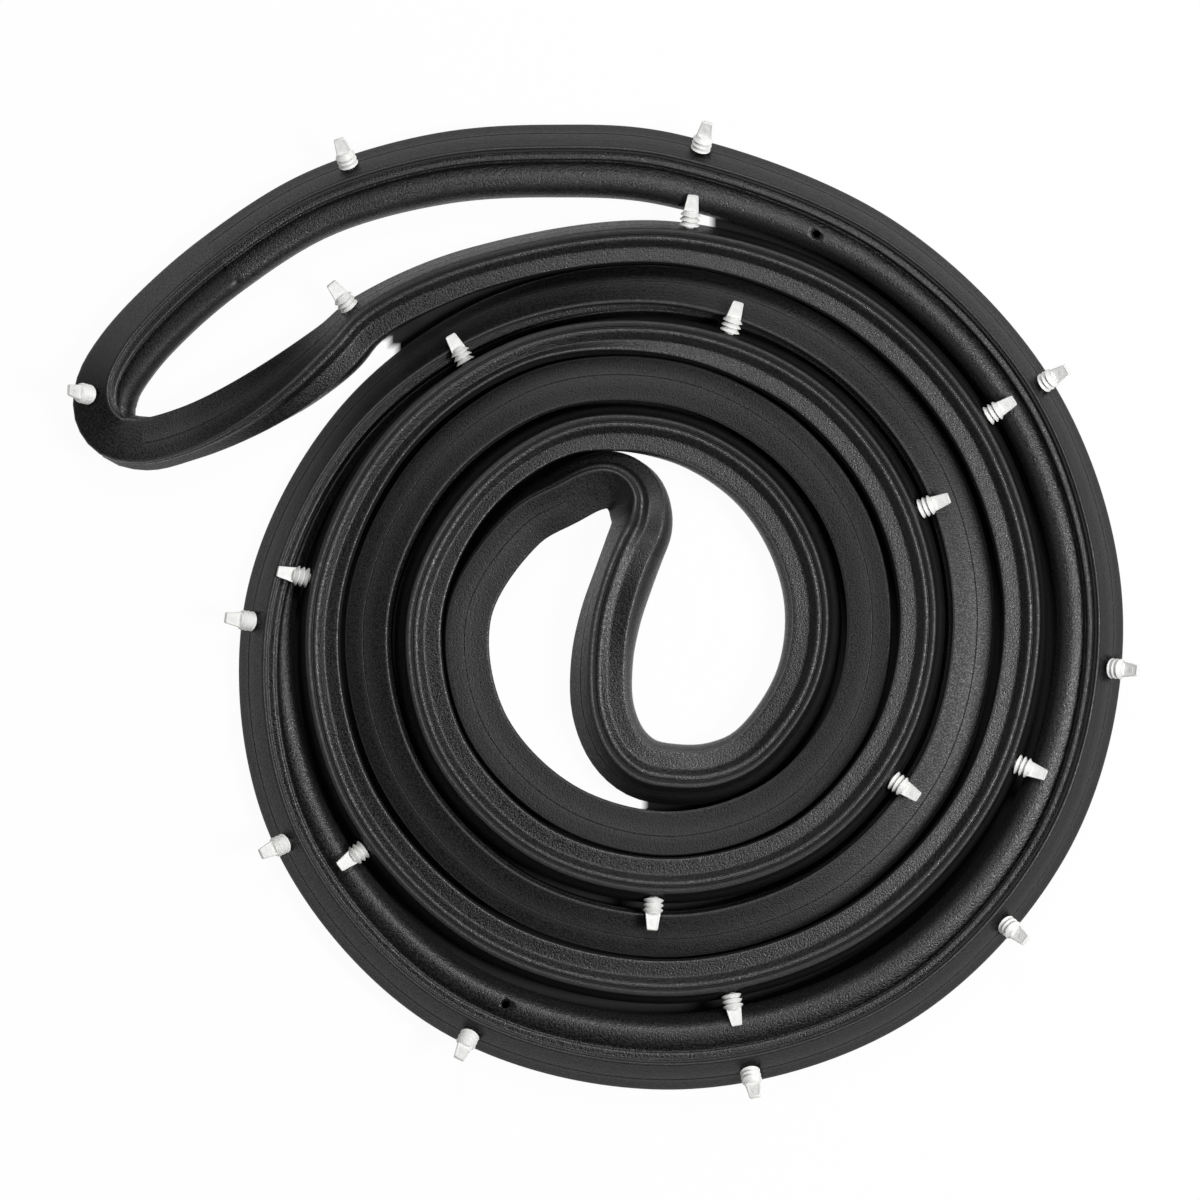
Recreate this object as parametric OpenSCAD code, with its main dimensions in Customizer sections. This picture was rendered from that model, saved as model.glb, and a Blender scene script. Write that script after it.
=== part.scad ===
// Vehicle door weatherstrip: one closed loop of rubber bulb seal with two moulded
// corners and 22 push-in clips, lying in the doubled spiral it is packed in.
// Millimetres, +Z up, the floor is z = 0 and the origin is under the middle of the coil.

/* [Strip section] */
// Width of the mounting face
face_w = 17; // [15:0.25:17.5]
// Thickness of the dense carrier behind the mounting face
base_t = 2.8; // [2.4:0.1:3.2]
// Wall of the hollow sponge bulb
bulb_wall = 2; // [1.4:0.1:2.4]
// Depth behind the face where the bulb starts to round off
shoulder_depth = 13.8; // [12:0.1:15]
// Depth of the groove beside the sealing lip
groove_depth = 2.6; // [1.5:0.1:3]
// Distance from the mounting face to the sealing lip
lip_depth = 5.4; // [5:0.1:6.4]
// How far the sponge is pressed flat where it lies on the floor
foot_press = 1.5; // [1:0.1:2]

/* [Lay] */
// Rings to each long step of the route
turn_rings = 2; // [1:1:3]

/* [Clips] */
// Distance of the clip axis from the bead edge of the mounting face
clip_y = 8; // [6:0.25:10]
// Length of a clip beyond the mounting face
clip_reach = 13; // [11:0.25:15]
// Diameter of the barbs
barb_d = 8; // [6:0.1:8.4]
// Distance from one barb to the next
barb_pitch = 2; // [1.6:0.1:2.2]
// Number of barbs on a clip
barb_count = 3; // [2:1:3]
// Width of the guide blade at its root
blade_root_w = 6; // [4.5:0.1:7]
// Width of the guide blade at its tip
blade_tip_w = 4.4; // [3:0.1:5]
// Thickness of the guide blade
blade_t = 1.8; // [1.2:0.1:2.6]
// Diameter of the neck that passes through the carrier
neck_d = 3.8; // [3:0.1:4.4]
// Diameter of the head that holds the clip inside the bulb
head_d = 8; // [6.5:0.1:8.6]
// Thickness of the head
head_t = 1.2; // [0.8:0.1:1.5]
// Free play of the neck in its hole, all round
neck_play = 0.45; // [0.3:0.05:0.7]
// Play of the head and of the first barb along the clip axis
axial_play = 0.75; // [0.7:0.05:0.9]

/* [Vents] */
// Diameter of an air vent in the bulb
vent_d = 3.2; // [2:0.1:4]

/* [Hidden] */

rubber = [0.10, 0.10, 0.105];
sponge = [0.16, 0.16, 0.165];
nylon = [0.93, 0.93, 0.90];

// The point of the section that the route follows, from the face and from the bead edge
route_x = 9;
route_y = 8.5;

// Centre of the coil and the inside of the sharp upper corner, in the plan of the route
coil_c = [27.8, -2.4];
corner_c = [1, 34.4];
// Middle of the whole coil's box in that plan, which becomes the origin
box_middle = [0.4, 0.4];

// A row of the route is [x, y, roll, depth, bulge, lift]: the place of the section, the
// turn of its face (90 faces up), its depth, how far its flanks stand out, and how high
// it rides above the floor. A short list keeps its last value to the end of a lay.
function pick(list, k) = is_list(list) ? list[min(k, len(list) - 1)] : list;
function lay(centre, angle, step, radii, rolls, depths, bulges, lifts) = [
    for (k = [0 : len(radii) - 1])
        let (a = angle + step * k)
        [centre[0] + radii[k] * cos(a), centre[1] + radii[k] * sin(a),
         pick(rolls, k), pick(depths, k), pick(bulges, k), pick(lifts, k)]
];

upper_corner_rows = lay(corner_c, -12, 24, [14, 14, 15, 15.5, 15.5, 15],
    [157, 148, 137, 126, 118, 113], 23, [0.6, 0.5, 0.4], 0);
front_lead_rows = [[-15, 42.5, 108, 22, 0.4, 0]];
// The front strand winds outwards with its face turned up
front_inner_rows = lay(coil_c, 150, 30,
    [69, 81, 86.5, 88, 88, 86, 82, 78, 78.5, 82.5, 90.5, 101],
    [104, 97, 95, 95, 95, 95, 95, 95, 95, 95, 92, 86], [21, 19, 18], [0.2, -0.1, -0.3], 0);
front_middle_rows = lay(coil_c, 150, 30,
    [109.5, 119, 124.5, 127, 126.5, 124, 120.5, 117, 117, 120, 125.6, 132.6],
    [79, 79, 80, 80, 80, 80, 79, 77, 73, 71, 65, 52],
    [16.5, 16.5, 16.5, 16.5, 16.5, 16.5, 16.5, 16.5, 16.5, 16, 15, 13.5], -0.3, 0);
front_outer_rows = lay(coil_c, 150, 30,
    [143.9, 158.5, 170.8, 177.4, 176.8, 175, 170.8, 166.4, 164.3, 166.4, 177.5],
    [40, 40, 42, 43, 43.5, 43.5, 43.5, 42, 38, 37, 39],
    [13.8, 16, 22, 25.5, 27, 27, 25, 23, 22, 22, 25],
    [-0.3, -0.1, 0.6, 1, 1.1, 1.1, 1, 0.75, 0.7, 0.7, 1.2], 0);
front_loop_rows = lay(coil_c, 105, 13, [187.5, 201, 215.8], [39, 39, 39], [25, 24.5, 23], [1.2, 1.1, 0.9], 0);
// The loop folds back through the wide lower corner
lower_corner_rows = [
    [-151, 136.8, 40, 22.5, 0.8, 0], [-174.5, 116.5, 42, 22.5, 0.6, 0], [-189, 100.2, 46, 22.5, 0.5, 0],
    [-196.5, 87, 56, 22.5, 0.4, 0], [-197.5, 76, 70, 23, 0.4, 0],
    [-192.5, 67.5, 86, 23.5, 0.4, 0], [-181, 65, 93, 23.5, 0.5, 0]];
rear_lead_rows = [
    [-165, 68.5, 98, 23, 0.3, 0], [-147, 75.5, 108, 23, 0.3, 0], [-125, 87.5, 126, 22.5, 0.5, 0],
    [-105.5, 101.5, 146, 21, 0.5, 1.5], [-92.5, 113, 155, 18.5, 0.3, 3]];
// The rear strand winds inwards on edge, its face turned out and a little up
rear_outer_rows = lay(coil_c, 120, -30,
    [154.8, 144.2, 139.5, 137.2, 137.8, 140, 142.5, 144.6, 146.2, 144, 137.2, 126.5],
    [160, 162, 162, 162, 162, 162, 162, 162, 162, 162, 165, 169],
    [15.5, 15.5, 16.5, 16.5, 16.5, 16, 16, 16, 16, 15.5, 15, 13.6],
    [0.2, 0.2, 0.2, 0.2, 0.2, 0.2, 0.2, 0.2, 0.2, 0.2, 0.1],
    [5, 5.4, 5.8, 5.8, 5.5, 5.2, 5.2, 5.2, 5.2, 5.2, 6.5, 9]);
rear_middle_rows = lay(coil_c, 120, -30,
    [115, 106, 100.5, 97, 97, 99.5, 103, 104.5, 105.5, 104, 98.5, 88.5],
    [176, 168, 163, 161], [12.6, 14.8, 17, 17, 17, 16.5, 16, 16, 16, 16.5, 16, 14.5],
    [0.1, 0.1, 0.2], [9.5, 8.6, 7.9, 7.5, 7, 6.5, 6.5, 6.5, 6.5, 6, 5, 4]);
rear_inner_rows = lay(coil_c, 120, -30, [80, 69.2, 61, 56.5, 56, 59, 64.5],
    [161, 161, 160, 158, 157, 155, 153], [15, 18.5, 20, 21], [0.3, 0.3, 0.4, 0.5],
    [3, 2, 1, 0.5, 0]);
rear_tail_rows = [
    [44, -66.2, 152, 22, 0.6, 0], [28, -67.2, 151, 22.5, 0.8, 0], [15, -64.5, 151, 23, 0.9, 0],
    [5.5, -56, 151, 23, 1, 0], [-0.5, -41, 151, 23, 1, 0], [-1, -22, 154, 23, 1, 0],
    [2, -4.5, 161, 23, 1, 0], [7, 11, 165, 23, 1, 0], [11.5, 23, 163, 23, 0.8, 0]];

sections = [upper_corner_rows, front_lead_rows, front_inner_rows, front_middle_rows,
            front_outer_rows, front_loop_rows, lower_corner_rows, rear_lead_rows,
            rear_outer_rows, rear_middle_rows, rear_inner_rows, rear_tail_rows];
from_middle = [-box_middle[0], -box_middle[1], 0, 0, 0, 0];
rows = [for (s = sections) for (r = s) r + from_middle];
row_count = len(rows);
function rows_before(n) = n == 0 ? 0 : rows_before(n - 1) + len(sections[n - 1]);

// Smooth closed curve through the rows, all six values at once
function plan(v) = [v[0], v[1]];
function knot(a, b) = sqrt(norm(plan(b) - plan(a)));
function row(i) = rows[(i + row_count) % row_count];
function row_slope(before, here, after) =
    let (a = knot(before, here), b = knot(here, after))
    (here - before) / a - (after - before) / (a + b) + (after - here) / b;
function blend(i, u) =
    let (p = row(i), q = row(i + 1), w = knot(p, q),
         m = w * row_slope(row(i - 1), p, q), n = w * row_slope(p, q, row(i + 2)))
    (2 * u^3 - 3 * u^2 + 1) * p + (u^3 - 2 * u^2 + u) * m
        + (3 * u^2 - 2 * u^3) * q + (u^3 - u^2) * n;
long_step = 33;
function steps_at(i) = norm(plan(row(i + 1)) - plan(row(i))) < long_step ? 1 : turn_rings;
stations = [for (i = [0 : row_count - 1]) let (n = steps_at(i))
            for (k = [0 : n - 1]) blend(i, k / n)];
station_count = len(stations);
function station(i) = stations[(i + station_count) % station_count];
function stations_before(i) = i == 0 ? 0 : stations_before(i - 1) + steps_at(i - 1);

// Outline of the section, from the bead edge round the face, groove, lip and bulb
function flank_low(bulge) = -3.2 * bulge;
function flank_high(bulge) = face_w + 0.3 + 4.6 * bulge;
function rounding(depth) = max((depth - shoulder_depth) / 9.7, 0.26);
root_high = face_w - 1.4;
root_low = 0.2;
inner_high = face_w - groove_depth - bulb_wall;
inner_low = root_low + bulb_wall;
function base_outline() = [
    [0, 0.3], [0, face_w - 0.6], [0.9, face_w + 0.2], [base_t, root_high],
    [base_t, inner_high], [base_t, inner_low], [base_t, root_low], [1.2, -0.3]];
function bulb_outside(depth, bulge) =
    let (k = rounding(depth), s = depth - 9.7 * k,
         low = flank_low(bulge), high = flank_high(bulge))
    [[base_t, root_high], [lip_depth, face_w + 0.1], [lip_depth + 2.4, face_w - groove_depth],
     [s + 1.2 * k, high], [s + 8.2 * k, face_w - 2 + 0.8 * (high - face_w)],
     [depth, face_w / 2], [s + 7 * k, 2.2 + 0.3 * low],
     [min(shoulder_depth, depth - 2.5), low], [base_t, root_low]];
function bulb_inside(depth, bulge) =
    let (k = rounding(depth), s = depth - 9.7 * k, w = bulb_wall,
         low = flank_low(bulge), high = flank_high(bulge))
    [[base_t, inner_high], [lip_depth + 0.4, inner_high], [lip_depth + 2.4 + 0.5 * w, inner_high],
     [s + (1.2 + 0.3 * w) * k, high - w],
     [s + 8.2 * k - 0.9 * w, face_w - 2 + 0.8 * (high - face_w) - 0.7 * w],
     [depth - w, face_w / 2], [s + 7 * k - 0.8 * w, 2.2 + 0.3 * low + 0.7 * w],
     [min(shoulder_depth, depth - 2.5) - 0.2 * w, low + w], [base_t, inner_low]];
wall_points = 9;

// Direction of travel at a station, and the side on its right hand
function travel(i) =
    let (d = plan(station(i + 1)) - plan(station(i - 1))) [d[0], d[1], 0] / norm(d);
function right_of(t) = [t[1], -t[0], 0];
// Depth and width axes of the section in space
function depth_axis(i) = let (roll = station(i)[2])
    -cos(roll) * right_of(travel(i)) - [0, 0, sin(roll)];
function width_axis(i) = let (roll = station(i)[2])
    -sin(roll) * right_of(travel(i)) + [0, 0, cos(roll)];
function offset_at(i, p) = (p[0] - route_x) * depth_axis(i) + (p[1] - route_y) * width_axis(i);
// The section is let down until its lowest edge is pressed flat on the floor
floor_levels = [for (i = [0 : station_count - 1]) let (s = station(i))
    foot_press + min([for (p = concat(base_outline(), bulb_outside(s[3], s[4])))
                      offset_at(i, p)[2]])];
function placed(i, p, low = 0) =
    let (j = (i + station_count) % station_count, s = station(j), v = offset_at(j, p))
    [s[0] + v[0], s[1] + v[1], s[5] + max(v[2] - floor_levels[j], low)];
base_rings = [for (i = [0 : station_count - 1]) [for (p = base_outline()) placed(i, p)]];
inner_floor = 0.65 * bulb_wall;
bulb_rings = [for (i = [0 : station_count - 1])
    let (s = station(i), inside = bulb_inside(s[3], s[4]), last = wall_points - 1)
    concat([for (p = bulb_outside(s[3], s[4])) placed(i, p)],
           [for (k = [last : -1 : 0]) placed(i, inside[k], k == 0 || k == last ? 0 : inner_floor)])];

// Stations where the pieces meet
upper_corner_start = stations_before(row_count - 1);
front_start = stations_before(rows_before(1));
front_end = stations_before(rows_before(6));
rear_start = stations_before(rows_before(7) - 1);

// Solid swept through rings[from..to]. cap lists the triangles of an end face; slant
// turns the diagonals of the walls, so that two pieces that touch share their facets.
module sweep_rings(rings, from, to, cap, slant) {
    n = len(rings[0]);
    count = to - from;
    polyhedron(
        points = [for (i = [from : to]) each rings[(i + station_count) % station_count]],
        faces = concat(
            [for (i = [0 : count - 1]) for (j = [0 : n - 1])
                let (a = i * n + j, b = i * n + (j + 1) % n, c = b + n, d = a + n)
                each slant ? [[a, b, c], [a, c, d]] : [[a, b, d], [b, c, d]]],
            [for (f = cap) [f[2], f[1], f[0]]],
            [for (f = cap) f + count * n * [1, 1, 1]]));
}
base_cap = [[0, 1, 5], [1, 4, 5], [1, 2, 4], [2, 3, 4], [0, 5, 7], [5, 6, 7]];
wall_cap = [for (j = [0 : wall_points - 2])
    let (last = 2 * wall_points - 1) each [[j, j + 1, last - j], [j + 1, last - 1 - j, last - j]]];
module base_sweep(from, to) sweep_rings(base_rings, from, to, base_cap, false);
module bulb_sweep(from, to) sweep_rings(bulb_rings, from, to, wall_cap, true);

// Distance along the route from the first row to each station
miles = [for (i = 0, d = 0; i <= station_count;
              d = d + norm(plan(station(i + 1)) - plan(station(i))), i = i + 1) d];
function stretch_of(d) = max([for (i = [0 : station_count - 1]) if (miles[i] <= d) i]);
function share_of(d) = let (i = stretch_of(d)) (d - miles[i]) / (miles[i + 1] - miles[i]);
// Point p of the section at distance d, on the facets of the swept solid
function at_distance(d, p) = let (i = stretch_of(d), f = share_of(d))
    (1 - f) * placed(i, p) + f * placed(i + 1, p);
function unit(v) = v / norm(v);
function along(d) = let (i = stretch_of(d))
    unit(placed(i + 1, [0, clip_y]) - placed(i, [0, clip_y]));
function outward(d) =
    let (i = stretch_of(d), n = -depth_axis(i) - depth_axis(i + 1), t = along(d))
    unit(n - (n * t) * t);
// Moves its children to the face at distance d: Z out of the face, X along the strip
module on_face(d) {
    x = along(d);
    z = outward(d);
    y = cross(z, x);
    p = at_distance(d, [0, clip_y]);
    multmatrix([[x[0], y[0], z[0], p[0]], [x[1], y[1], z[1], p[1]], [x[2], y[2], z[2], p[2]]])
        children();
}

// Least gap of the strand to itself: where a neighbouring turn passes through the cut
// plane of a station, each outline's points are measured to the other outline's edges
skin_points = 17;
function skin(ring_base, ring_bulb) = concat([for (k = [0 : 2]) ring_base[k]],
    [for (k = [0 : wall_points - 1]) ring_bulb[k]], [ring_base[len(ring_base) - 1]]);
function skin_at(i) = skin(base_rings[i], bulb_rings[i]);
function passing(i, j) =
    let (t = travel(i), c = base_rings[i][0],
         near = skin_at(j), far = skin_at((j + 1) % station_count))
    [for (k = [0 : len(near) - 1])
        let (a = (near[k] - c) * t, b = (far[k] - c) * t, f = min(1, max(0, a / (a - b))))
        (1 - f) * near[k] + f * far[k]];
function to_edge(p, a, b) =
    let (e = b - a, f = min(1, max(0, (p - a) * e / (e * e)))) norm(p - a - f * e);
function least(points, outline) = min([for (p = points) for (k = [0 : len(outline) - 1])
    to_edge(p, outline[k], outline[(k + 1) % len(outline)])]);
near_turn = 40;
function is_near(i, j) =
    let (t = travel(i), a = station(j) - station(i), b = station(j + 1) - station(i),
         ahead = (j - i + station_count) % station_count)
    min(ahead, station_count - ahead) > 3 && norm(plan(a)) < near_turn
        && (plan(a) * plan(t)) * (plan(b) * plan(t)) <= 0;
function self_gap() = min([for (i = [0 : station_count - 1]) for (j = [0 : station_count - 1])
    if (is_near(i, j)) let (here = skin_at(i), there = passing(i, j))
        min(least(here, there), least(there, here))]);

// Where the clips sit, as distances along the route
front_clips = [1467, 1552, 1654, 1762, 1875, 1981, 2094, 2255, 2392, 2526];
rear_clips = [2654, 2787, 2923, 3057, 3199, 3353, 3458, 3558, 3658, 3756, 3859, 3960];
vents = [1662, 2202, 2469];
function clip_name(strand, k) = str("clip_", strand, k < 9 ? "_0" : "_", k + 1);

// Clip: head inside the bulb, neck, barbs and guide blade
core_d = 5.2;
barb_edge = 0.4;
barbs_end = axial_play + barb_count * barb_pitch;
module clip_spindle() {
    head_top = -base_t - axial_play;
    rotate_extrude($fn = 24) polygon(concat(
        [[0, head_top - head_t], [head_d / 2 - 0.3, head_top - head_t],
         [head_d / 2, head_top - head_t + 0.3], [head_d / 2, head_top],
         [neck_d / 2, head_top], [neck_d / 2, axial_play]],
        [for (k = [0 : barb_count - 1]) let (z = axial_play + k * barb_pitch)
            each [[barb_d / 2, z], [barb_d / 2, z + barb_edge], [core_d / 2, z + barb_pitch]]],
        [[0, barbs_end]]));
}
module clip_blade() {
    root = axial_play + 0.5 * barb_count * barb_pitch;
    rotate([90, 0, 0]) translate([0, 0, -blade_t / 2]) linear_extrude(blade_t) polygon([
        [-core_d / 2, root], [core_d / 2, root], [blade_root_w / 2, barbs_end],
        [blade_tip_w / 2, clip_reach - 0.4], [blade_tip_w / 2 - 0.4, clip_reach],
        [0.4 - blade_tip_w / 2, clip_reach], [-blade_tip_w / 2, clip_reach - 0.4],
        [-blade_root_w / 2, barbs_end]]);
}
module clip(d) color(nylon) on_face(d) {
    clip_spindle();
    clip_blade();
}
// Hole of a clip through the carrier, with a shallow round seat on both sides
seat_sink = 0.2;
seat_play = 0.35;
module clip_hole(d) on_face(d) {
    translate([0, 0, -base_t - 1])
        cylinder(d = neck_d + 2 * neck_play, h = base_t + 2, $fn = 32);
    translate([0, 0, -seat_sink])
        cylinder(d = barb_d + 2 * seat_play, h = axial_play + barb_pitch, $fn = 32);
    translate([0, 0, seat_sink - base_t - axial_play - head_t])
        cylinder(d = head_d + 2 * seat_play, h = axial_play + head_t, $fn = 32);
}
vent_x = shoulder_depth - 1.8;
module vent(d) {
    i = stretch_of(d);
    x = along(d);
    w = width_axis(i);
    z = unit(w - (w * x) * x);
    y = cross(z, x);
    p = at_distance(d, [vent_x, face_w - 2 * bulb_wall]);
    multmatrix([[x[0], y[0], z[0], p[0]], [x[1], y[1], z[1], p[1]], [x[2], y[2], z[2], p[2]]])
        cylinder(d = vent_d, h = 12, $fn = 24);
}

// The moulded corners are one compound: carrier and bulb in one piece
module moulded_corner(from, to) {
    base_sweep(from, to);
    bulb_sweep(from, to);
}
module corner_upper() color(rubber)
    moulded_corner(upper_corner_start, front_start + station_count);
module corner_lower() color(rubber) difference() {
    moulded_corner(front_end, rear_start);
    for (d = front_clips) if (miles[front_end] < d) clip_hole(d);
}
module front_base() color(rubber) difference() {
    base_sweep(front_start, front_end);
    for (d = front_clips) if (d < miles[front_end]) clip_hole(d);
}
module front_bulb() color(sponge) difference() {
    bulb_sweep(front_start, front_end);
    for (d = vents) vent(d);
}
module rear_base() color(rubber) difference() {
    base_sweep(rear_start, upper_corner_start);
    for (d = rear_clips) clip_hole(d);
}
module rear_bulb() color(sponge) bulb_sweep(rear_start, upper_corner_start);

corner_upper();
corner_lower();
front_base();
front_bulb();
rear_base();
rear_bulb();
for (k = [0 : len(front_clips) - 1])
    clip(front_clips[k]);
for (k = [0 : len(rear_clips) - 1])
    clip(rear_clips[k]);
echo(route_length = miles[station_count], least_gap_to_itself = self_gap());
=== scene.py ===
"""Vehicle door weatherstrip with push-in clips, lying in its doubled spiral on a white floor.

The strip is swept in fine rings along the route of the CAD model. Strip and clips are written in
millimetres and turned into metres when a mesh is made. Lamps are written in metres.
"""
import math
from collections import namedtuple

import bmesh
import bpy
import numpy as np
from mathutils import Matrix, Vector


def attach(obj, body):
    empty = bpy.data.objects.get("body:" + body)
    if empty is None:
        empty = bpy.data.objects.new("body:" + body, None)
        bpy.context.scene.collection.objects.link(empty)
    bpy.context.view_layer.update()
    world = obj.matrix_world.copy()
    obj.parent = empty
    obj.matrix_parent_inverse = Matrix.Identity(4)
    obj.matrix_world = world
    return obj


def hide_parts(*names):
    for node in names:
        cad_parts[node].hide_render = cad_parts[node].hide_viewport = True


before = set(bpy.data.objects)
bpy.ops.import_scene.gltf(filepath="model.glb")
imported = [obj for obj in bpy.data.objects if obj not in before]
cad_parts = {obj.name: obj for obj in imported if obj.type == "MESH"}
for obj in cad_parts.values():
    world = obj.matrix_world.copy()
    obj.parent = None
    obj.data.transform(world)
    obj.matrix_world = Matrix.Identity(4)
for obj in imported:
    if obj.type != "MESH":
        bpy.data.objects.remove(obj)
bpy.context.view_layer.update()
MM = 0.001


def link(obj):
    """Puts an object in the scene."""
    bpy.context.scene.collection.objects.link(obj)
    return obj


# ---------------------------------------------------------------- camera
# The floor shows 480 mm across, seen from straight above.
VIEW_WIDTH = 480.0
VIEW_HEIGHT = 1300.0
VIEW_CENTRE = (-1.4, 2.0)
SENSOR = 36.0


def make_camera():
    data = bpy.data.cameras.new("overhead_camera")
    data.sensor_width = SENSOR
    data.lens = SENSOR * VIEW_HEIGHT / VIEW_WIDTH
    camera = link(bpy.data.objects.new("overhead_camera", data))
    camera.location = (VIEW_CENTRE[0] * MM, VIEW_CENTRE[1] * MM, VIEW_HEIGHT * MM)
    bpy.context.scene.camera = camera


make_camera()

# ---------------------------------------------------------------- strip section
FACE_W = 17.0
BASE_T = 2.8
BULB_WALL = 2.0
SHOULDER = 13.8
SHOULDER_BACK = 2.5
LIP = 5.4
GROOVE = 2.6
GROOVE_X = LIP + 2.4
# The nose is the bulb past its shoulder: its full depth, the least share of that, and where its
# top, high side and low side lie along it.
NOSE = 9.7
NOSE_LEAST = 0.26
NOSE_TOP = 1.2
NOSE_HIGH = 8.2
NOSE_LOW = 7.0
# How far the bulb swells past each edge of the face at a bulge of 1
SWELL_LOW = 3.2
SWELL_HIGH = 4.6
# The low side of the bulb dips to a valley and rises again to a ridge.
VALLEY_X = 7.7
VALLEY = 1.05
RIDGE = 0.85
# How far the foot is pressed flat on the floor, and the point of the section on the route
FOOT_PRESS = 1.5
ROUTE_X, ROUTE_Y = 9.0, 8.5
ROOT_HIGH = FACE_W - 1.4
ROOT_LOW = 0.2

# Each corner is (depth, width, how much of its two edges its rounding takes).
CARRIER = [
    (0.0, 0.30, 0.30), (0.0, 6.85, 0.02), (0.16, 7.10, 0.30), (0.0, 7.35, 0.02),
    (0.0, 16.10, 0.05), (0.20, 16.90, 0.45), (0.75, 17.15, 0.45), (1.15, 16.75, 0.40),
    (1.60, 17.05, 0.45), (2.20, 17.10, 0.45), (BASE_T, 16.50, 0.30), (BASE_T, ROOT_HIGH, 0.02),
    (BASE_T, ROOT_LOW, 0.02), (2.50, 0.10, 0.30), (2.15, -0.38, 0.45), (1.20, -0.55, 0.45),
    (0.35, -0.25, 0.45)]
CORNER_STEPS = 3

Bulb = namedtuple("Bulb", "share start low high upper lower shoulder")


def bulb_shape(depth, bulge):
    """Measures that every outline of the bulb shares."""
    share = max((depth - SHOULDER) / NOSE, NOSE_LEAST)
    low = -SWELL_LOW * bulge
    high = FACE_W + 0.3 + SWELL_HIGH * bulge
    return Bulb(share, depth - NOSE * share, low, high, FACE_W - 2 + 0.8 * (high - FACE_W),
                2.2 + 0.3 * low, min(SHOULDER, depth - SHOULDER_BACK))


def bulb_corners(depth, bulge):
    """Outside of the bulb from the groove beside the face, over lip and nose, to the bead."""
    b = bulb_shape(depth, bulge)
    rise = b.high - FACE_W - 0.1
    top = b.start + NOSE_TOP * b.share
    span = top - GROOVE_X
    return [
        (BASE_T, ROOT_HIGH, 0.02), (3.6, 15.65, 0.4), (4.8, 16.9, 0.4), (5.4, 17.22, 0.45),
        (5.95, 16.9, 0.4), (6.6, 15.0, 0.3), (GROOVE_X - 0.5, 14.35, 0.4),
        (GROOVE_X + 0.6, 14.5, 0.4), (GROOVE_X + 0.2 * span, 15.9 + 0.2 * rise, 0.4),
        (GROOVE_X + 0.5 * span, 16.6 + 0.7 * rise, 0.5), (top, b.high, 0.5),
        (b.start + NOSE_HIGH * b.share, b.upper, 0.5), (depth, FACE_W / 2, 0.5),
        (b.start + NOSE_LOW * b.share, b.lower, 0.5), (b.shoulder + 0.5, b.low + 0.4, 0.3),
        (b.shoulder + 0.1, b.low - RIDGE, 0.35), (b.shoulder - 0.7, b.low - RIDGE + 0.05, 0.3),
        (VALLEY_X, 0.6 * b.low + VALLEY, 0.15), (4.3, 0.15 * b.low - 0.75, 0.4),
        (3.25, -0.45, 0.3), (2.95, 0.10, 0.3), (BASE_T, ROOT_LOW, 0.02)]


def bulb_hollow(depth, bulge):
    """Inside of the bulb, in the same direction as its outside."""
    b = bulb_shape(depth, bulge)
    w = BULB_WALL
    inner_high = FACE_W - GROOVE - w
    return [
        (BASE_T, inner_high), (LIP + 0.4, inner_high), (GROOVE_X + 0.5 * w, inner_high),
        (b.start + (NOSE_TOP + 0.3 * w) * b.share, b.high - w),
        (b.start + NOSE_HIGH * b.share - 0.9 * w, b.upper - 0.7 * w),
        (depth - w, FACE_W / 2), (b.start + NOSE_LOW * b.share - 0.8 * w, b.lower + 0.7 * w),
        (b.shoulder - 0.2 * w, b.low + w), (VALLEY_X, 0.6 * b.low + VALLEY + 0.8 * w),
        (BASE_T, ROOT_LOW + w)]


def rounded(corners, closed, steps):
    """Rounds each corner with a short curve that starts and ends on its two edges."""
    points = []
    count = len(corners)
    for i, (x, y, share) in enumerate(corners):
        here = np.array((x, y))
        if not closed and i in (0, count - 1):
            points.append(here)
            continue
        before = np.array(corners[i - 1][:2])
        after = np.array(corners[(i + 1) % count][:2])
        start = here + share * (before - here)
        end = here + share * (after - here)
        for k in range(steps + 1):
            u = k / steps
            points.append((1 - u) ** 2 * start + 2 * u * (1 - u) * here + u * u * end)
    return np.array(points)


def spread(corners, count):
    """count points at even distances along a chain of corners."""
    corners = np.array(corners, float)
    reach = np.r_[0, np.cumsum(np.linalg.norm(np.diff(corners, axis=0), axis=1))]
    at = np.linspace(0, reach[-1], count)
    return np.c_[np.interp(at, reach, corners[:, 0]), np.interp(at, reach, corners[:, 1])]


# ---------------------------------------------------------------- route
# Centre of the coil and inside of the sharp upper corner, in the plan of the route
COIL_C = (27.8, -2.4)
CORNER_C = (1.0, 34.4)
BOX_MIDDLE = (0.4, 0.4)


def pick(values, k):
    """A list shorter than a lay keeps its last value to the end."""
    return values[min(k, len(values) - 1)] if isinstance(values, list) else values


def lay(centre, angle, step, radii, rolls, depths, bulges, lifts):
    """Rows of the route round a centre: x, y, roll of the face, depth, bulge and lift."""
    rows = []
    for k, radius in enumerate(radii):
        a = math.radians(angle + step * k)
        rows.append([centre[0] + radius * math.cos(a), centre[1] + radius * math.sin(a),
                     pick(rolls, k), pick(depths, k), pick(bulges, k), pick(lifts, k)])
    return rows


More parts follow.
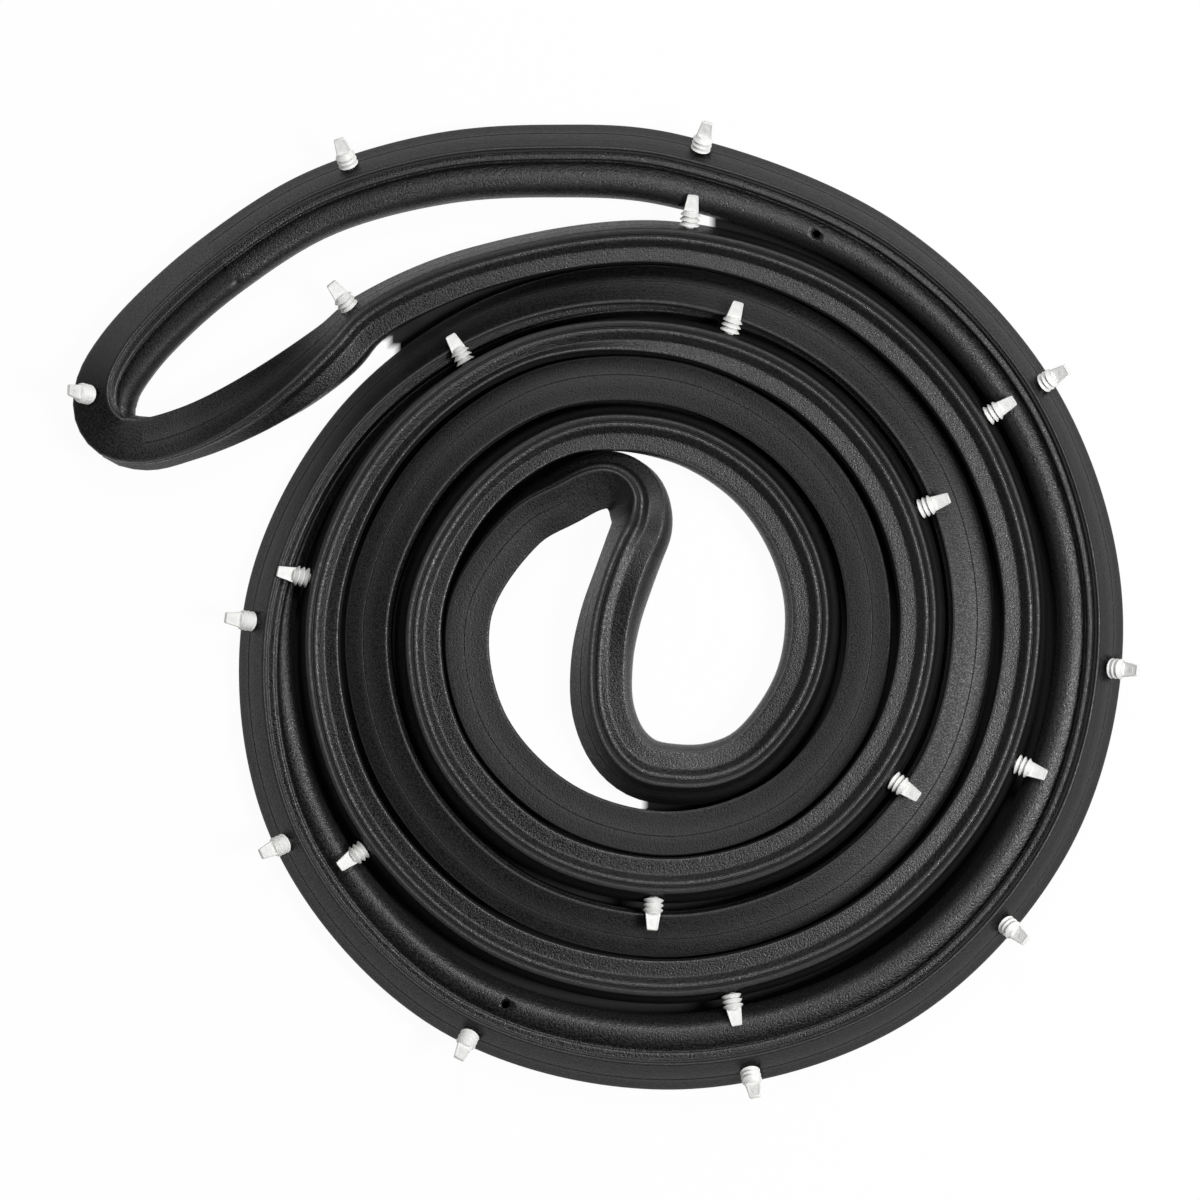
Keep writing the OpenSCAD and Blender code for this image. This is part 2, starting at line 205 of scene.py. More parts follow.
upper_corner_rows = lay(CORNER_C, -12, 24, [14, 14, 15, 15.5, 15.5, 15],
                        [157, 148, 137, 126, 118, 113], 23, [0.6, 0.5, 0.4], 0)
front_lead_rows = [[-15, 42.5, 108, 22, 0.4, 0]]
front_inner_rows = lay(COIL_C, 150, 30, [69, 81, 86.5, 88, 88, 86, 82, 78, 78.5, 82.5, 90.5, 101],
                       [104, 97, 95, 95, 95, 95, 95, 95, 95, 95, 92, 86],
                       [21, 19, 18], [0.2, -0.1, -0.3], 0)
front_middle_rows = lay(COIL_C, 150, 30,
                        [109.5, 119, 124.5, 127, 126.5, 124, 120.5, 117, 117, 120, 125.6, 132.6],
                        [79, 79, 80, 80, 80, 80, 79, 77, 73, 71, 65, 52],
                        [16.5] * 9 + [16, 15, 13.5], -0.3, 0)
front_outer_rows = lay(COIL_C, 150, 30,
                       [143.9, 158.5, 170.8, 177.4, 176.8, 175, 170.8, 166.4, 164.3, 166.4, 177.5],
                       [40, 40, 42, 43, 43.5, 43.5, 43.5, 42, 38, 37, 39],
                       [13.8, 16, 22, 25.5, 27, 27, 25, 23, 22, 22, 25],
                       [-0.3, -0.1, 0.6, 1, 1.1, 1.1, 1, 0.75, 0.7, 0.7, 1.2], 0)
front_loop_rows = lay(COIL_C, 105, 13, [187.5, 201, 215.8], 39, [25, 24.5, 23],
                      [1.2, 1.1, 0.9], 0)
lower_corner_rows = [
    [-151, 136.8, 40, 22.5, 0.8, 0], [-174.5, 116.5, 42, 22.5, 0.6, 0],
    [-189, 100.2, 46, 22.5, 0.5, 0], [-196.5, 87, 56, 22.5, 0.4, 0],
    [-197.5, 76, 70, 23, 0.4, 0], [-192.5, 67.5, 86, 23.5, 0.4, 0], [-181, 65, 93, 23.5, 0.5, 0]]
rear_lead_rows = [
    [-165, 68.5, 98, 23, 0.3, 0], [-147, 75.5, 108, 23, 0.3, 0], [-125, 87.5, 126, 22.5, 0.5, 0],
    [-105.5, 101.5, 146, 21, 0.5, 1.5], [-92.5, 113, 155, 18.5, 0.3, 3]]
rear_outer_rows = lay(COIL_C, 120, -30,
                      [154.8, 144.2, 139.5, 137.2, 137.8, 140, 142.5, 144.6, 146.2, 144, 137.2, 126.5],
                      [160] + [162] * 9 + [165, 169],
                      [15.5, 15.5, 16.5, 16.5, 16.5, 16, 16, 16, 16, 15.5, 15, 13.6],
                      [0.2] * 10 + [0.1], [5, 5.4, 5.8, 5.8, 5.5] + [5.2] * 5 + [6.5, 9])
rear_middle_rows = lay(COIL_C, 120, -30,
                       [115, 106, 100.5, 97, 97, 99.5, 103, 104.5, 105.5, 104, 98.5, 88.5],
                       [176, 168, 163, 161],
                       [12.6, 14.8, 17, 17, 17, 16.5, 16, 16, 16, 16.5, 16, 14.5],
                       [0.1, 0.1, 0.2], [9.5, 8.6, 7.9, 7.5, 7, 6.5, 6.5, 6.5, 6.5, 6, 5, 4])
rear_inner_rows = lay(COIL_C, 120, -30, [80, 69.2, 61, 56.5, 56, 59, 64.5],
                      [161, 161, 160, 158, 157, 155, 153], [15, 18.5, 20, 21],
                      [0.3, 0.3, 0.4, 0.5], [3, 2, 1, 0.5, 0])
rear_tail_rows = [
    [44, -66.2, 152, 22, 0.6, 0], [28, -67.2, 151, 22.5, 0.8, 0], [15, -64.5, 151, 23, 0.9, 0],
    [5.5, -56, 151, 23, 1, 0], [-0.5, -41, 151, 23, 1, 0], [-1, -22, 154, 23, 1, 0],
    [2, -4.5, 161, 23, 1, 0], [7, 11, 165, 23, 1, 0], [11.5, 23, 163, 23, 0.8, 0]]

SECTIONS = [upper_corner_rows, front_lead_rows, front_inner_rows, front_middle_rows,
            front_outer_rows, front_loop_rows, lower_corner_rows, rear_lead_rows,
            rear_outer_rows, rear_middle_rows, rear_inner_rows, rear_tail_rows]
ROWS = np.array([row for section in SECTIONS for row in section], float)
ROWS[:, :2] -= BOX_MIDDLE
ROW_COUNT = len(ROWS)
# Rows further apart than this get a station between them.
LONG_STEP = 33.0
TURN_RINGS = 2
NUDGE = 1e-4


def rows_before(n):
    return sum(len(section) for section in SECTIONS[:n])


def knot(a, b):
    return math.sqrt(np.linalg.norm(b[:2] - a[:2]))


def row_slope(before, here, after):
    a, b = knot(before, here), knot(here, after)
    return (here - before) / a - (after - before) / (a + b) + (after - here) / b


def blend_rows(i, u):
    """The route's row at share u of the way from row i to the next one."""
    before, p, q, after = (ROWS[(i + k) % ROW_COUNT] for k in (-1, 0, 1, 2))
    w = knot(p, q)
    m = w * row_slope(before, p, q)
    n = w * row_slope(p, q, after)
    return ((2 * u ** 3 - 3 * u ** 2 + 1) * p + (u ** 3 - 2 * u ** 2 + u) * m
            + (3 * u ** 2 - 2 * u ** 3) * q + (u ** 3 - u ** 2) * n)


def slope_at(i, u):
    """Way the route's plan goes at share u from row i, in no set length."""
    return (blend_rows(i, u + NUDGE) - blend_rows(i, u - NUDGE))[:2]


def steps_at(i):
    gap = np.linalg.norm(ROWS[(i + 1) % ROW_COUNT][:2] - ROWS[i][:2])
    return 1 if gap < LONG_STEP else TURN_RINGS


def make_stations():
    """The coarse stations of the CAD model, each with its row and its share of the way."""
    where = [(i, k / steps_at(i)) for i in range(ROW_COUNT) for k in range(steps_at(i))]
    return where, np.array([blend_rows(i, u) for i, u in where])


STATION_AT, STATIONS = make_stations()
STATION_COUNT = len(STATIONS)


def station_of_row(i):
    return STATION_AT.index((i, 0.0))


# Stations where the pieces meet
UPPER_START = station_of_row(ROW_COUNT - 1)
FRONT_START = station_of_row(rows_before(1))
FRONT_END = station_of_row(rows_before(6))
REAR_START = station_of_row(rows_before(7) - 1)

# Distance between rings along the strip and round the sharp corner
FINE_STEP = 4.0
CORNER_STEP = 1.6


def make_fine_route():
    """Fine samples: position in stations, row values and direction of travel."""
    at, values, slopes = [], [], []
    for i in range(STATION_COUNT):
        row, u0 = STATION_AT[i]
        u1 = u0 + 1 / steps_at(row)
        gap = np.linalg.norm(STATIONS[(i + 1) % STATION_COUNT][:2] - STATIONS[i][:2])
        wanted = CORNER_STEP if i >= UPPER_START or i < FRONT_START else FINE_STEP
        steps = max(2, math.ceil(gap / wanted))
        for k in range(steps):
            u = u0 + (u1 - u0) * k / steps
            at.append(i + k / steps)
            values.append(blend_rows(row, u))
            slopes.append(slope_at(row, u))
    slopes = np.array(slopes)
    return np.array(at), np.array(values), slopes / np.linalg.norm(slopes, axis=1)[:, None]


FINE_AT, FINE_ROWS, FINE_TRAVEL = make_fine_route()
FINE_COUNT = len(FINE_AT)


def section_axes(travel, roll):
    """Depth and width axes of the section in space."""
    r = math.radians(roll)
    right = np.array((travel[1], -travel[0], 0.0))
    up = np.array((0.0, 0.0, 1.0))
    return -math.cos(r) * right - math.sin(r) * up, -math.sin(r) * right + math.cos(r) * up


CAD_BASE = [(0, 0.3), (0, FACE_W - 0.6), (0.9, FACE_W + 0.2), (BASE_T, ROOT_HIGH),
            (BASE_T, ROOT_LOW), (1.2, -0.3)]


def cad_outside(depth, bulge):
    b = bulb_shape(depth, bulge)
    return [(BASE_T, ROOT_HIGH), (LIP, FACE_W + 0.1), (GROOVE_X, FACE_W - GROOVE),
            (b.start + NOSE_TOP * b.share, b.high), (b.start + NOSE_HIGH * b.share, b.upper),
            (depth, FACE_W / 2), (b.start + NOSE_LOW * b.share, b.lower),
            (b.shoulder, b.low), (BASE_T, ROOT_LOW)]


def floor_level(row, travel):
    """How far the section is let down, so that its foot is pressed flat on the floor."""
    depth_axis, width_axis = section_axes(travel, row[2])
    heights = [(p[0] - ROUTE_X) * depth_axis[2] + (p[1] - ROUTE_Y) * width_axis[2]
               for p in CAD_BASE + cad_outside(row[3], row[4])]
    return FOOT_PRESS + min(heights)


def place(row, travel, points):
    """Points of the section, set in space at a row of the route."""
    depth_axis, width_axis = section_axes(travel, row[2])
    points = np.asarray(points, float)
    offset = ((points[:, :1] - ROUTE_X) * depth_axis + (points[:, 1:2] - ROUTE_Y) * width_axis)
    placed = offset + (row[0], row[1], 0.0)
    placed[:, 2] = row[5] + np.maximum(offset[:, 2] - floor_level(row, travel), 0.0)
    return placed


# ---------------------------------------------------------------- clip places
# Clips and vents are placed by their distance along the route from its first row.
CLIP_Y = 8.0
FRONT_CLIPS = [1467, 1552, 1654, 1762, 1875, 1981, 2094, 2255, 2392, 2526]
REAR_CLIPS = [2654, 2787, 2923, 3057, 3199, 3353, 3458, 3558, 3658, 3756, 3859, 3960]
VENTS = [1662, 2202, 2469]
VENT_D = 3.2
VENT_REACH = 12.0
VENT_X = SHOULDER - 1.8

MILES = np.r_[0, np.cumsum(np.linalg.norm(
    np.diff(np.r_[STATIONS[:, :2], STATIONS[:1, :2]], axis=0), axis=1))]


def station_at(distance):
    """Position along the route, in stations, at a distance from the first row."""
    i = int(np.searchsorted(MILES, distance, side="right")) - 1
    return i + (distance - MILES[i]) / (MILES[i + 1] - MILES[i])


def unit(v):
    return v / np.linalg.norm(v)


def route_at(distance):
    """Row of the route and direction of travel at a distance from the first row."""
    at = station_at(distance)
    i = int(at)
    row, u = STATION_AT[i]
    u += (at - i) / steps_at(row)
    return blend_rows(row, u), unit(slope_at(row, u))


def section_frame(distance, point):
    """Place of a point of the section, direction along the strip and the two section axes."""
    row, travel = route_at(distance)
    ends = [place(*route_at(distance + step), [point])[0] for step in (-0.5, 0.5)]
    return place(row, travel, [point])[0], unit(ends[1] - ends[0]), section_axes(travel, row[2])


def clip_frame(distance):
    """Place of a clip on the face, direction along the strip and out of the face."""
    p, x, axes = section_frame(distance, (0, CLIP_Y))
    return p, x, unit(-axes[0] + (axes[0] @ x) * x)


# ---------------------------------------------------------------- strip meshes
CARRIER_POINTS = rounded(CARRIER, True, CORNER_STEPS)
# The moulded corners have no fine line along the face.
PLAIN_POINTS = rounded(CARRIER[:1] + CARRIER[4:], True, CORNER_STEPS)


def carrier_points(row):
    return CARRIER_POINTS


def plain_carrier_points(row):
    return PLAIN_POINTS


def bulb_points(row):
    outside = rounded(bulb_corners(row[3], row[4]), False, CORNER_STEPS)
    inside = spread(bulb_hollow(row[3], row[4]), len(outside))
    return np.r_[outside, inside[::-1]]


def fine_range(first, last):
    """Fine samples from one station to another, both included, round the closed route."""
    start = int(np.argmin(abs(FINE_AT - first)))
    end = int(np.argmin(abs(FINE_AT - last)))
    if end <= start:
        end += FINE_COUNT
    return [k % FINE_COUNT for k in range(start, end + 1)]


# Distance to the neighbours that a crease is measured from, and the least chord it is divided by
CREASE_REACH = 0.45
CREASE_CHORD_LEAST = 0.05


def closed_reach(points):
    """A closed section and the distance round it of each of its points."""
    closed = np.r_[points, points[:1]]
    return closed, np.r_[0, np.cumsum(np.linalg.norm(np.diff(closed, axis=0), axis=1))]


def creases(closed, reach):
    """How far each point of a closed section stands above its neighbours, for the finishes."""
    sides = []
    for step in (-CREASE_REACH, CREASE_REACH):
        at = np.mod(reach[:-1] + step, reach[-1])
        sides.append(np.c_[np.interp(at, reach, closed[:, 0]), np.interp(at, reach, closed[:, 1])])
    chord = sides[1] - sides[0]
    lean = closed[:-1] - sides[0]
    cross = chord[:, 0] * lean[:, 1] - chord[:, 1] * lean[:, 0]
    return cross / np.maximum(np.linalg.norm(chord, axis=1), CREASE_CHORD_LEAST)


def finish_coords(along, section):
    """Distance along the strip, distance round the section and crease of each point."""
    closed, reach = closed_reach(section)
    return np.c_[np.full(len(section), along), reach[:-1], creases(closed, reach)]


def sweep(samples, make_points, cap_of):
    """Vertices, faces and finish coordinates of a section swept through fine samples."""
    sections = [make_points(FINE_ROWS[k]) for k in samples]
    rings = [place(FINE_ROWS[k], FINE_TRAVEL[k], points) for k, points in zip(samples, sections)]
    n = len(rings[0])
    verts = np.concatenate(rings)
    i = np.arange(len(rings) - 1)[:, None] * n
    j = np.arange(n)[None, :]
    a, b = i + j, i + (j + 1) % n
    quads = np.stack([a, b, b + n, a + n], axis=-1).reshape(-1, 4).tolist()
    last = (len(rings) - 1) * n
    caps = cap_of(n)
    faces = quads + [face[::-1] for face in caps] + [[v + last for v in face] for face in caps]
    centres = np.array([ring.mean(axis=0) for ring in rings])
    along = np.r_[0, np.cumsum(np.linalg.norm(np.diff(centres, axis=0), axis=1))]
    coords = np.concatenate([finish_coords(d, points) for d, points in zip(along, sections)])
    return verts, faces, coords


def solid_cap(n):
    """End of a solid section of n points."""
    return [list(range(n))]


def wall_cap(n):
    """End of a hollow section, whose n points go out along one side and back along the other."""
    half = n // 2
    return [[j, j + 1, n - 2 - j, n - 1 - j] for j in range(half - 1)]


# Angles in degrees above which an edge is shaded sharp
STRIP_SHARP = 60
CLIP_SHARP = 35


def make_object(name, verts, faces, coords=None):
    """A smooth object; coords are its finish coordinates, kept as the attribute strip."""
    mesh = bpy.data.meshes.new(name)
    mesh.from_pydata((np.asarray(verts) * MM).tolist(), [], faces)
    if coords is not None:
        strip = mesh.attributes.new("strip", "FLOAT_VECTOR", "POINT")
        strip.data.foreach_set("vector", (coords * MM).astype(np.float32).ravel())
    mesh.validate()
    bm = bmesh.new()
    bm.from_mesh(mesh)
    bmesh.ops.recalc_face_normals(bm, faces=bm.faces)
    bm.to_mesh(mesh)
    bm.free()
    mesh.shade_smooth()
    mesh.set_sharp_from_angle(angle=math.radians(STRIP_SHARP))
    return link(bpy.data.objects.new(name, mesh))


def swept_piece(name, first, last, make_points, cap_of):
    verts, faces, coords = sweep(fine_range(first, last), make_points, cap_of)
    return make_object(name, verts, faces, coords)


# ---------------------------------------------------------------- cutting holes
HOLE_SIDES = 40
NECK_D = 3.8
NECK_PLAY = 0.45
AXIAL_PLAY = 0.75
# Neck holes are cut this far past both sides of the carrier.
CUT_PAST = 1.0


def rod(radius, low, high, p, x, z, sides=HOLE_SIDES):
    """A closed round rod along z, from low to high, set at p."""
    y = np.cross(z, x)
    turn = np.linspace(0, 2 * math.pi, sides, endpoint=False)
    rim = radius * (np.cos(turn)[:, None] * x + np.sin(turn)[:, None] * y)
    verts = np.r_[p + low * z + rim, p + high * z + rim]
    walls = [[j, (j + 1) % sides, sides + (j + 1) % sides, sides + j] for j in range(sides)]
    return verts, walls + [list(range(sides))[::-1], list(range(sides, 2 * sides))]


def joined(solids):
    """Vertices and faces of several solids as one list of each."""
    verts, faces, offset = [], [], 0
    for v, f in solids:
        verts.append(v)
        faces += [[i + offset for i in face] for face in f]
        offset += len(v)
    return np.concatenate(verts), faces


def combined(obj, tool, operation):
    """The mesh that a boolean of two objects leaves."""
    step = obj.modifiers.new("combined", "BOOLEAN")
    step.operation = operation
    step.solver = "MANIFOLD"
    step.object = tool
    graph = bpy.context.evaluated_depsgraph_get()
    mesh = bpy.data.meshes.new_from_object(obj.evaluated_get(graph))
    obj.modifiers.clear()
    return mesh


def discard(obj):
    mesh = obj.data
    bpy.data.objects.remove(obj)
    bpy.data.meshes.remove(mesh)


def cut(obj, solids):
    """Cuts closed solids out of a piece."""
    tool = make_object(obj.name + "_cutter", *joined(solids))
    old = obj.data
    obj.data = combined(obj, tool, "DIFFERENCE")
    bpy.data.meshes.remove(old)
    discard(tool)


def neck_cut(distance):
    """Round hole through the carrier for a clip's neck."""
    p, x, z = clip_frame(distance)
    return rod(NECK_D / 2 + NECK_PLAY, -BASE_T - CUT_PAST, CUT_PAST, p, x, z)


def vent_cut(distance):
    """Round vent from the bulb's hollow out through its high side."""
    p, x, axes = section_frame(distance, (VENT_X, FACE_W - 2 * BULB_WALL))
    z = unit(axes[1] - (axes[1] @ x) * x)
    return rod(VENT_D / 2, 0, VENT_REACH, p, x, z)


# ---------------------------------------------------------------- clip moulding
CLIP_REACH = 13.0
BARB_D = 8.0
BARB_PITCH = 2.0
BARB_COUNT = 3
CORE_D = 5.2
HEAD_D = 8.0
HEAD_T = 1.2
BLADE_ROOT_W = 6.0
BLADE_TIP_W = 4.4
BLADE_T = 1.8
BARBS_END = AXIAL_PLAY + BARB_COUNT * BARB_PITCH
SPIN_SIDES = 48


def spindle_outline():
    """Half section of head, neck and barbs as (radius, height)."""
    head_top = -BASE_T - AXIAL_PLAY
    outline = [(0.0, head_top - HEAD_T), (HEAD_D / 2 - 0.5, head_top - HEAD_T),
               (HEAD_D / 2 - 0.15, head_top - HEAD_T + 0.12), (HEAD_D / 2, head_top - HEAD_T + 0.45),
               (HEAD_D / 2, head_top - 0.15), (HEAD_D / 2 - 0.15, head_top),
               (NECK_D / 2 + 0.2, head_top), (NECK_D / 2, head_top + 0.2),
               (NECK_D / 2, AXIAL_PLAY + 0.3)]
    for k in range(BARB_COUNT):
        z = AXIAL_PLAY + k * BARB_PITCH
        r = BARB_D / 2
        root = NECK_D / 2 if k == 0 else CORE_D / 2
        outline += [(root, z + 0.62), (r - 0.35, z + 0.10), (r - 0.06, z + 0.02), (r, z + 0.08),
                    (r - 0.02, z + 0.18), (r - 0.22, z + 0.40), (CORE_D / 2 + 0.30, z + 1.30),
                    (CORE_D / 2, z + 1.60)]
    outline += [(CORE_D / 2, BARBS_END - 0.2), (CORE_D / 2 - 0.25, BARBS_END), (0.0, BARBS_END)]
    return outline


def spun(outline, sides):
    """A closed solid spun from a half section that starts and ends on the axis."""
    turn = np.linspace(0, 2 * math.pi, sides, endpoint=False)
    inner = outline[1:-1]
    verts = [(0.0, 0.0, outline[0][1])]
    for r, z in inner:
        verts += [(r * math.cos(t), r * math.sin(t), z) for t in turn]
    verts.append((0.0, 0.0, outline[-1][1]))
    top = len(verts) - 1
    faces = []
    for j in range(sides):
        n = (j + 1) % sides
        faces.append([0, 1 + n, 1 + j])
        for k in range(len(inner) - 1):
            a = 1 + k * sides
            faces.append([a + j, a + n, a + sides + n, a + sides + j])
        last = 1 + (len(inner) - 1) * sides
        faces.append([last + j, last + n, top])
    return np.array(verts), faces


# Layers of the blade from one face to the other: how far its edge is set in there, and the
# height as a share of the thickness
BLADE_LAYERS = [(0.30, -0.5), (0.09, -0.41), (0.0, -0.2), (0.0, 0.2), (0.09, 0.41), (0.30, 0.5)]


def blade_solid():
    """Guide blade: a tapered plate with rounded edges, whose root lies inside the barbs."""
    root = AXIAL_PLAY + 0.5 * BARB_COUNT * BARB_PITCH
    tip = CLIP_REACH
    outline = np.array([
        (-CORE_D / 2 + 0.1, root), (CORE_D / 2 - 0.1, root), (BLADE_ROOT_W / 2, BARBS_END - 0.3),
        (BLADE_TIP_W / 2 + 0.02, tip - 0.7), (BLADE_TIP_W / 2 - 0.15, tip - 0.2),
        (BLADE_TIP_W / 2 - 0.6, tip), (0.6 - BLADE_TIP_W / 2, tip),
        (0.15 - BLADE_TIP_W / 2, tip - 0.2), (-BLADE_TIP_W / 2 - 0.02, tip - 0.7),
        (-BLADE_ROOT_W / 2, BARBS_END - 0.3)])
    to_centre = np.array((0.0, (root + tip) / 2)) - outline
    distance = np.linalg.norm(to_centre, axis=1)[:, None]
    verts = []
    for inset, half in BLADE_LAYERS:
        verts += [(x, half * BLADE_T, z) for x, z in outline + inset * to_centre / distance]
    n = len(outline)
    layers = len(BLADE_LAYERS)
    faces = [[k * n + j, k * n + (j + 1) % n, (k + 1) * n + (j + 1) % n, (k + 1) * n + j]
             for k in range(layers - 1) for j in range(n)]
    faces += [list(range(n))[::-1], list(range((layers - 1) * n, layers * n))]
    return np.array(verts), faces


PANEL_SINK = 0.12
PANEL_RIM = 0.55
EYE_R = 0.85
EYE_SINK = 0.32
EYE_SIDES = 24
# Cutters of the blade end this far from its middle plane, clear of its faces.
BLADE_CLEAR = 2.0


def blade_panel(side):
    """Shallow recess of one face of the blade, inside a rim."""
    low, high = BARBS_END + 0.1, CLIP_REACH - PANEL_RIM
    wide, narrow = BLADE_ROOT_W / 2 - PANEL_RIM - 0.15, BLADE_TIP_W / 2 - PANEL_RIM
    rim = [(-wide, low), (wide, low), (narrow, high), (-narrow, high)]
    depths = (BLADE_T / 2 - PANEL_SINK, BLADE_CLEAR)
    verts = np.array([(x, side * y, z) for y in depths for x, z in rim])
    walls = [[j, (j + 1) % 4, 4 + (j + 1) % 4, 4 + j] for j in range(4)]
    return verts, walls + [[3, 2, 1, 0], [4, 5, 6, 7]]


def make_clip_master():
    """Vertices in millimetres and faces of one clip, with a round dimple in each panel."""
    body = make_object("clip_master", *spun(spindle_outline(), SPIN_SIDES))
    plate = make_object("clip_plate", *blade_solid())
    eye = np.array((0.0, 0.0, (BARBS_END + CLIP_REACH) / 2 + 0.2))
    side, up = np.array((1.0, 0.0, 0.0)), np.array((0.0, 1.0, 0.0))
    cut(plate, [blade_panel(1), blade_panel(-1),
                rod(EYE_R, BLADE_T / 2 - EYE_SINK, BLADE_CLEAR, eye, side, up, EYE_SIDES),
                rod(EYE_R, -BLADE_CLEAR, EYE_SINK - BLADE_T / 2, eye, side, up, EYE_SIDES)])
    mesh = combined(body, plate, "UNION")
    points = np.empty(len(mesh.vertices) * 3)
    mesh.vertices.foreach_get("co", points)
    faces = [list(face.vertices) for face in mesh.polygons]
    bpy.data.meshes.remove(mesh)
    discard(body)
    discard(plate)
    return points.reshape(-1, 3) / MM, faces


# ---------------------------------------------------------------- shader helpers
def new_group(name, inputs, outputs):
    """An effect group with named sockets; inputs are (name, kind, value)."""
    group = bpy.data.node_groups.new(name, "ShaderNodeTree")
    for label, kind, value in inputs:
        socket = group.interface.new_socket(label, in_out="INPUT", socket_type=kind)
        if value is not None:
            socket.default_value = value
    for label, kind in outputs:
        group.interface.new_socket(label, in_out="OUTPUT", socket_type=kind)
    start = group.nodes.new("NodeGroupInput")
    end = group.nodes.new("NodeGroupOutput")
    return group, start, end


def add(tree, kind, **settings):
    node = tree.nodes.new(kind)
    for key, value in settings.items():
        setattr(node, key, value)
    return node


def math_node(tree, operation, a, b=None):
    node = add(tree, "ShaderNodeMath", operation=operation)
    for slot, value in enumerate((a, b)):
        if value is None:
            continue
        if isinstance(value, (int, float)):
            node.inputs[slot].default_value = value
        else:
            tree.links.new(value, node.inputs[slot])
    return node.outputs[0]


def scaled(tree, vector, factor):
    node = add(tree, "ShaderNodeVectorMath", operation="SCALE")
    tree.links.new(vector, node.inputs[0])
    tree.links.new(factor, node.inputs["Scale"])
    return node.outputs[0]


def noise(tree, vector, detail, roughness=0.5):
    node = add(tree, "ShaderNodeTexNoise")
    node.inputs["Scale"].default_value = 1.0
    node.inputs["Detail"].default_value = detail
    node.inputs["Roughness"].default_value = roughness
    tree.links.new(vector, node.inputs["Vector"])
    return node.outputs["Fac"]


def ramp(tree, value, low, high):
    """0 to 1 as the value goes from low to high."""
    node = add(tree, "ShaderNodeMapRange")
    node.inputs["From Min"].default_value = low
    node.inputs["From Max"].default_value = high
    tree.links.new(value, node.inputs["Value"])
    return node.outputs["Result"]


FLOAT = "NodeSocketFloat"
VECTOR = "NodeSocketVector"


CELL_SCALE = 1.4
CELL_SHARE = 0.35
LINE_STRETCH = 6.0


def make_grain_group():
    """Skin of foamed rubber: fine pits and pimples of two sizes."""
    group, start, end = new_group(
        "sponge_grain", [("Vector", VECTOR, None), ("Fineness", FLOAT, 1500.0)],
        [("Height", FLOAT), ("Speck", FLOAT)])
    vector = scaled(group, start.outputs["Vector"], start.outputs["Fineness"])
    coarse = noise(group, vector, 3.0, 0.6)
    cells = add(group, "ShaderNodeTexVoronoi")
    cells.inputs["Scale"].default_value = CELL_SCALE
    group.links.new(vector, cells.inputs["Vector"])
    pits = math_node(group, "MULTIPLY", cells.outputs["Distance"], CELL_SHARE)
    group.links.new(math_node(group, "SUBTRACT", coarse, pits), end.inputs["Height"])
    group.links.new(ramp(group, coarse, 0.40, 0.62), end.inputs["Speck"])
    return group


def make_lines_group():
    """Fine lines that the die leaves along an extrusion."""
    group, start, end = new_group(
        "die_lines", [("Strip", VECTOR, None), ("Spacing", FLOAT, 900.0)], [("Height", FLOAT)])
    parts = add(group, "ShaderNodeSeparateXYZ")
    group.links.new(start.outputs["Strip"], parts.inputs[0])
    across = math_node(group, "MULTIPLY", parts.outputs["Y"], start.outputs["Spacing"])
    along = math_node(group, "MULTIPLY", parts.outputs["X"], LINE_STRETCH)
    stretched = add(group, "ShaderNodeCombineXYZ")
    group.links.new(along, stretched.inputs["X"])
    group.links.new(across, stretched.inputs["Y"])
    group.links.new(noise(group, stretched.outputs[0], 2.0), end.inputs["Height"])
    return group


def make_mottle_group():
    """Slow changes of tone, as talc and handling leave on rubber."""
    group, start, end = new_group(
        "mottle", [("Vector", VECTOR, None), ("Scale", FLOAT, 25.0)], [("Value", FLOAT)])
    vector = scaled(group, start.outputs["Vector"], start.outputs["Scale"])
    group.links.new(ramp(group, noise(group, vector, 3.0), 0.3, 0.7), end.inputs["Value"])
    return group


def make_edges_group():
    """Painted highlight on ridges and painted shade in hollows, from how far the section stands out
    there.
    """
    group, start, end = new_group(
        "edges", [("Strip", VECTOR, None)], [("Ridge", FLOAT), ("Hollow", FLOAT)])
    parts = add(group, "ShaderNodeSeparateXYZ")
    group.links.new(start.outputs["Strip"], parts.inputs[0])
    group.links.new(ramp(group, parts.outputs["Z"], 0.03 * MM, 0.13 * MM), end.inputs["Ridge"])
    group.links.new(ramp(group, parts.outputs["Z"], -0.03 * MM, -0.15 * MM), end.inputs["Hollow"])
    return group


GRAIN = make_grain_group()
LINES = make_lines_group()
MOTTLE = make_mottle_group()
EDGES = make_edges_group()


def use_group(tree, group, links, values=None):
    node = add(tree, "ShaderNodeGroup", node_tree=group)
    for label, source in links.items():
        tree.links.new(source, node.inputs[label])
    for label, value in (values or {}).items():
        node.inputs[label].default_value = value
    return node.outputs


def mix_colour(tree, factor, a, b):
    """Mix of two colours, each written as a tuple or taken from a socket."""
    node = add(tree, "ShaderNodeMix", data_type="RGBA")
    for label, colour in (("A", a), ("B", b)):
        if isinstance(colour, tuple):
            node.inputs[label].default_value = (*colour, 1)
        else:
            tree.links.new(colour, node.inputs[label])
    tree.links.new(factor, node.inputs["Factor"])
    return node.outputs["Result"]


def new_material(name):
    material = bpy.data.materials.new(name)
    material.use_nodes = True
    tree = material.node_tree
    return material, tree, tree.nodes["Principled BSDF"]


def add_bump(tree, shader, height, distance):
    bump = add(tree, "ShaderNodeBump")
    bump.inputs["Strength"].default_value = 1.0
    bump.inputs["Distance"].default_value = distance
    tree.links.new(height, bump.inputs["Height"])
    tree.links.new(bump.outputs["Normal"], shader.inputs["Normal"])


def weighted(tree, value, weight):
    return math_node(tree, "MULTIPLY", value, weight)
